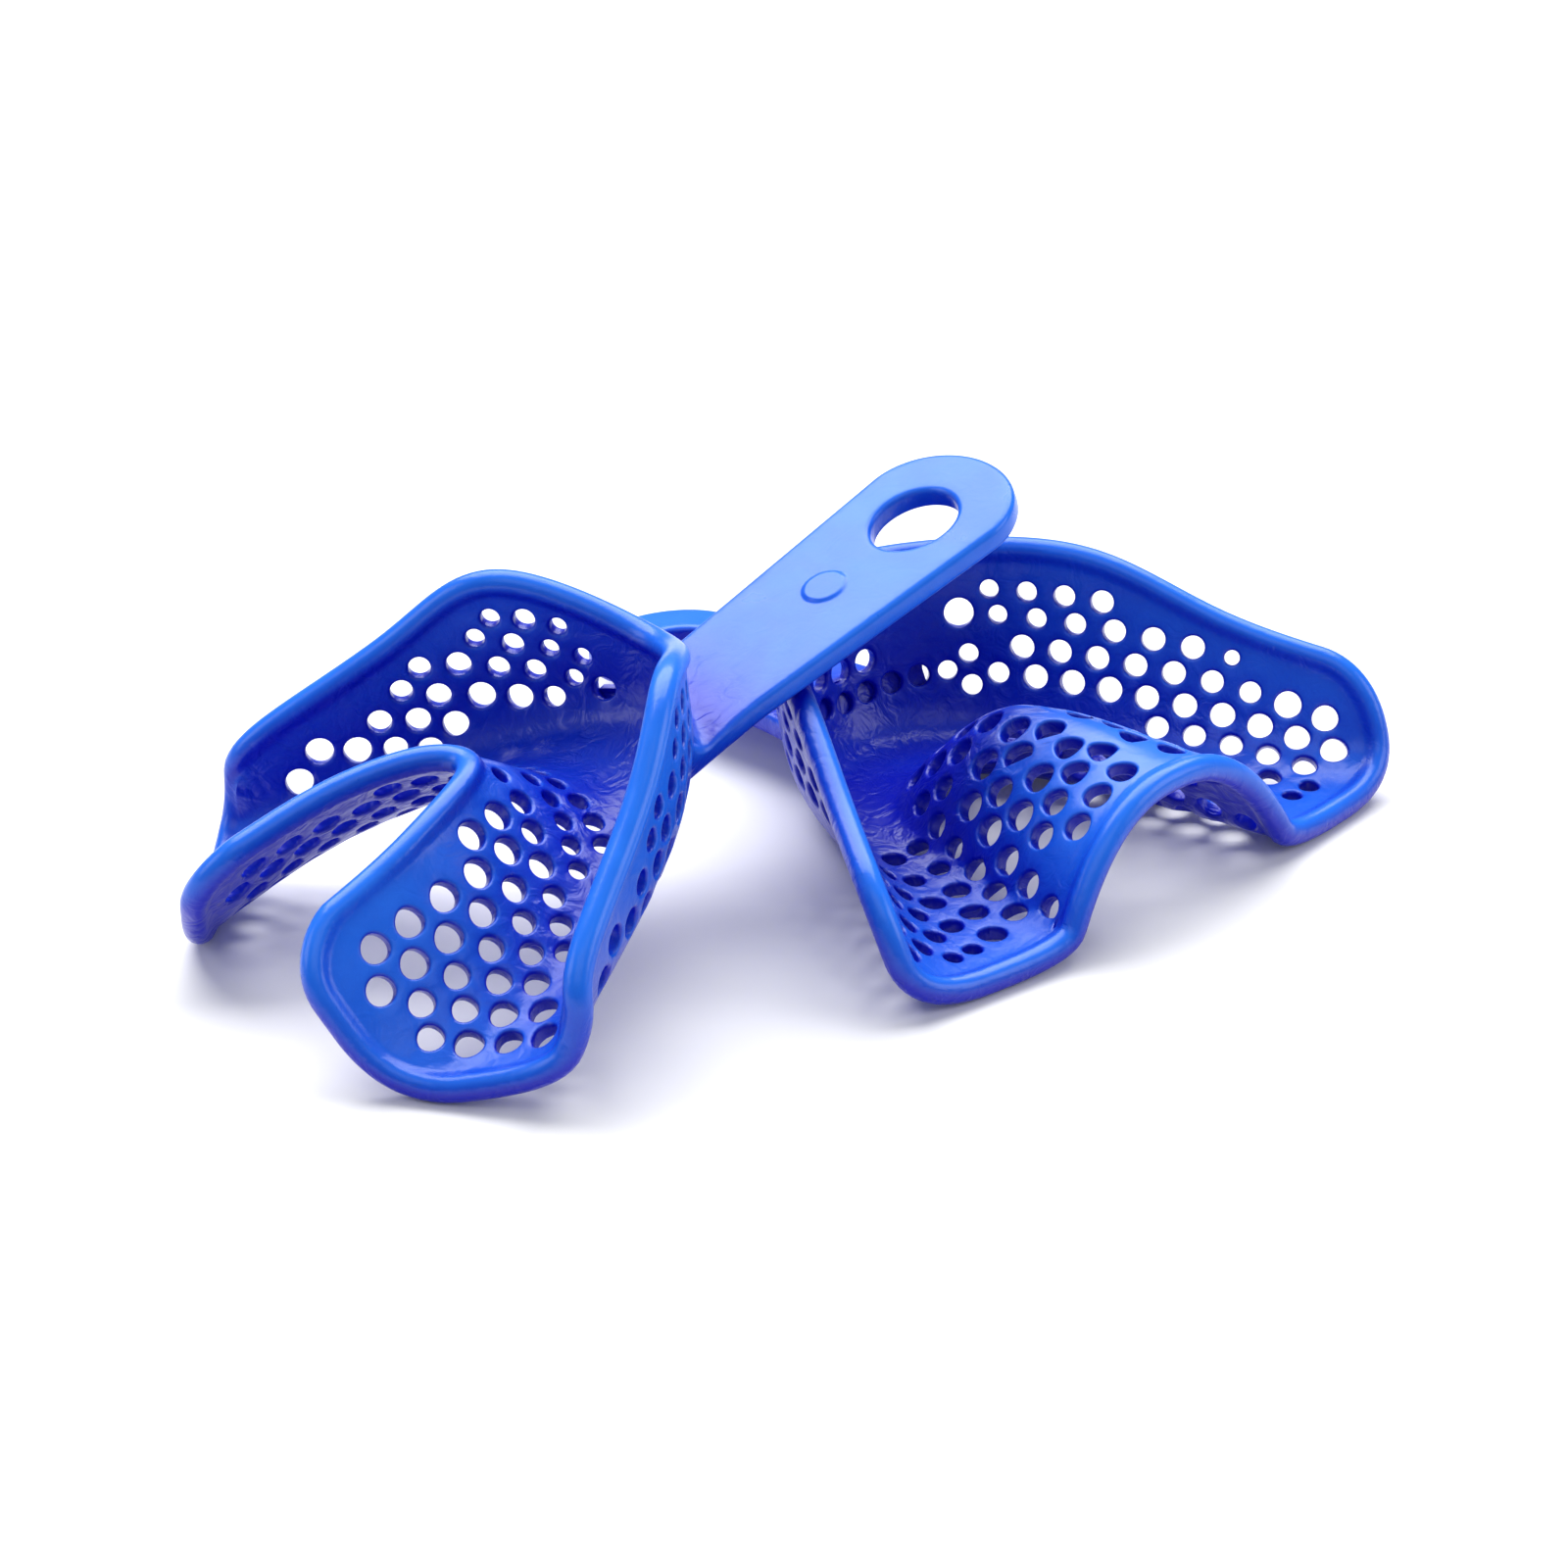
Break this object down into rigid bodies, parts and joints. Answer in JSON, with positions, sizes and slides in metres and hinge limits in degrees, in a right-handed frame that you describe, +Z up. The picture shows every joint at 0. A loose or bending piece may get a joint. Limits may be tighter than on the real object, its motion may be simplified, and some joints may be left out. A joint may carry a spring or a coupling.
{
  "type": "impression tray",
  "caption": "Matched pair of perforated dental impression trays, upper and lower, each moulded in one piece with a rolled rim and a flat handle with a hanging hole.",
  "frame": {"origin": "on the table plane, under the middle of the pair's footprint", "axes": "+Z up, +X along the pair's longest side from the lower tray to the upper tray, +Y away from the side that the heels of both trays face"},
  "size_m": [0.1232, 0.1046, 0.0374],
  "materials": {
    "upper_plastic": "glossy saturated blue moulded plastic",
    "lower_plastic": "glossy saturated blue moulded plastic"
  },
  "bodies": {
    "upper_tray": {"upper_tray": "upper_plastic"},
    "lower_tray": {"lower_tray": "lower_plastic"}
  },
  "joints": [
    {"name": "lower_tray_lift", "type": "slide", "parent": "upper_tray", "child": "lower_tray", "axis": [0, 0, 1], "range_m": [0, 0.06]}
  ]
}
